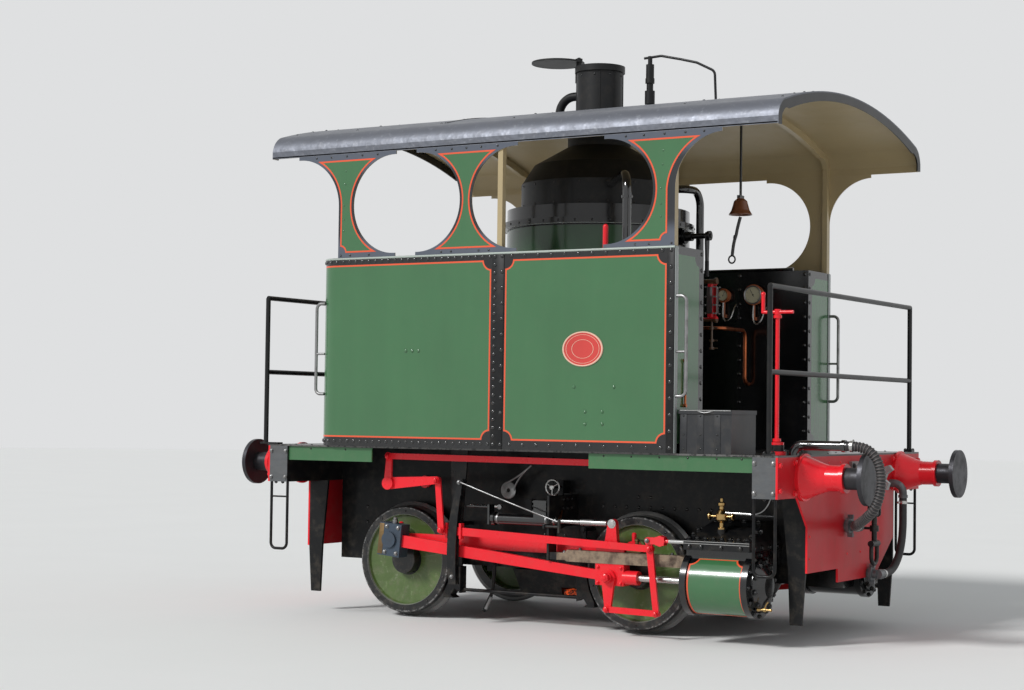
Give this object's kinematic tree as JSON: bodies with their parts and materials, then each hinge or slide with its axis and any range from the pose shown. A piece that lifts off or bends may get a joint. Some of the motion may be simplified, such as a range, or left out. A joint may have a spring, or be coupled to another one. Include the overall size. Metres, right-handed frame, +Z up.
{
  "type": "four-wheel steam tram locomotive with vertical boiler",
  "caption": "Small four-wheel steam tram locomotive: vertical boiler between green side tanks, arched roof on waisted window plates, red rods and buffers.",
  "frame": {"origin": "on the centreline, midway between the buffer faces, at the foot of the wheel flanges", "axes": "+X along the track towards the cylinder end, +Y to the far side, +Z up"},
  "size_m": [4.9425, 2.616, 4.064],
  "materials": {
    "black_paint": "semi-gloss black paint over plate and castings",
    "roof_paint": "dark grey semi-gloss paint on sheet",
    "green_paint": "gloss mid green with orange-red lining",
    "red_paint": "gloss bright red paint",
    "cream_paint": "satin cream paint",
    "bright_steel": "bare machined steel, oiled",
    "grey_steel": "worn dark grey paint on sheet steel",
    "brass": "polished brass and copper",
    "rubber": "ribbed black rubber"
  },
  "bodies": {
    "root": {"ashpan": "black_paint", "axleboxes": "black_paint", "bell": "brass", "big_ends": "bright_steel", "black_pipes": "black_paint", "boiler": "green_paint", "brake_gear": "black_paint", "brake_hose": "rubber", "buffer_casings": "red_paint", "buffers": "bright_steel", "chimney": "black_paint", "combination_levers": "red_paint", "connecting_rods": "red_paint", "copper_pipes": "brass", "crossheads": "red_paint", "cylinders": "green_paint", "draw_hooks": "bright_steel", "end_beams": "black_paint", "exhaust_elbow": "black_paint", "expansion_links": "black_paint", "face_plates": "red_paint", "feed_pumps": "black_paint", "footplate": "black_paint", "frame_fittings": "black_paint", "frames": "black_paint", "gauges": "brass", "glands_and_oilers": "brass", "grab_irons": "black_paint", "guards_and_steps": "black_paint", "handbrake": "red_paint", "handrails": "black_paint", "hose_couplings": "black_paint", "locker": "grey_steel", "motion_brackets": "black_paint", "piston_rods": "bright_steel", "radius_rods": "red_paint", "reach_rod": "red_paint", "regulator": "black_paint", "roof": "roof_paint", "roof_end_rims": "black_paint", "roof_hoops": "cream_paint", "screw_coupling": "black_paint", "slide_bars": "bright_steel", "smokebox": "black_paint", "steam_chests": "black_paint", "tank_far": "green_paint", "tank_near": "green_paint", "vacuum_hose": "rubber", "valve_crossheads": "bright_steel", "weighshaft": "red_paint", "whistle": "brass", "window_plates_far": "green_paint", "window_plates_near": "green_paint"},
    "wheelset_driving": {"wheelset_driving": "green_paint"},
    "wheelset_coupled": {"wheelset_coupled": "green_paint"},
    "coupling_rod_near": {"coupling_rod_near": "red_paint"},
    "coupling_rod_far": {"coupling_rod_far": "red_paint"},
    "chimney_lid": {"chimney_lid": "black_paint"},
    "firehole_door": {"firehole_door": "black_paint"},
    "locker_lid": {"locker_lid": "grey_steel"}
  },
  "joints": [
    {"name": "driving_wheels_turn", "type": "hinge", "parent": "root", "child": "wheelset_driving", "pos_m": [-1.098, 0, 0.408], "axis": [0, 1, 0], "continuous": true},
    {"name": "coupled_wheels_turn", "type": "hinge", "parent": "root", "child": "wheelset_coupled", "pos_m": [0.766, 0, 0.408], "axis": [0, 1, 0], "continuous": true},
    {"name": "near_rod_stays_level", "type": "hinge", "parent": "wheelset_driving", "child": "coupling_rod_near", "pos_m": [-1.098, -0.8605, 0.558], "axis": [0, 1, 0], "continuous": true},
    {"name": "far_rod_stays_level", "type": "hinge", "parent": "wheelset_driving", "child": "coupling_rod_far", "pos_m": [-0.948, 0.8605, 0.408], "axis": [0, 1, 0], "continuous": true},
    {"name": "chimney_lid_swings", "type": "hinge", "parent": "root", "child": "chimney_lid", "pos_m": [-0.176, 0, 4.036], "axis": [0, 0, 1], "range_deg": [0, 180]},
    {"name": "firehole_door_opens", "type": "hinge", "parent": "root", "child": "firehole_door", "pos_m": [0.725, 0.198, 1.503], "axis": [0, 0, 1], "range_deg": [0, 110]},
    {"name": "locker_lid_lifts", "type": "hinge", "parent": "root", "child": "locker_lid", "pos_m": [1.4765, -0.898, 1.481], "axis": [-1, 0, 0], "range_deg": [0, 100]}
  ],
  "couplings": [
    {"joint": "coupled_wheels_turn", "follows": "driving_wheels_turn", "ratio": 1},
    {"joint": "near_rod_stays_level", "follows": "driving_wheels_turn", "ratio": -1},
    {"joint": "far_rod_stays_level", "follows": "driving_wheels_turn", "ratio": -1}
  ]
}
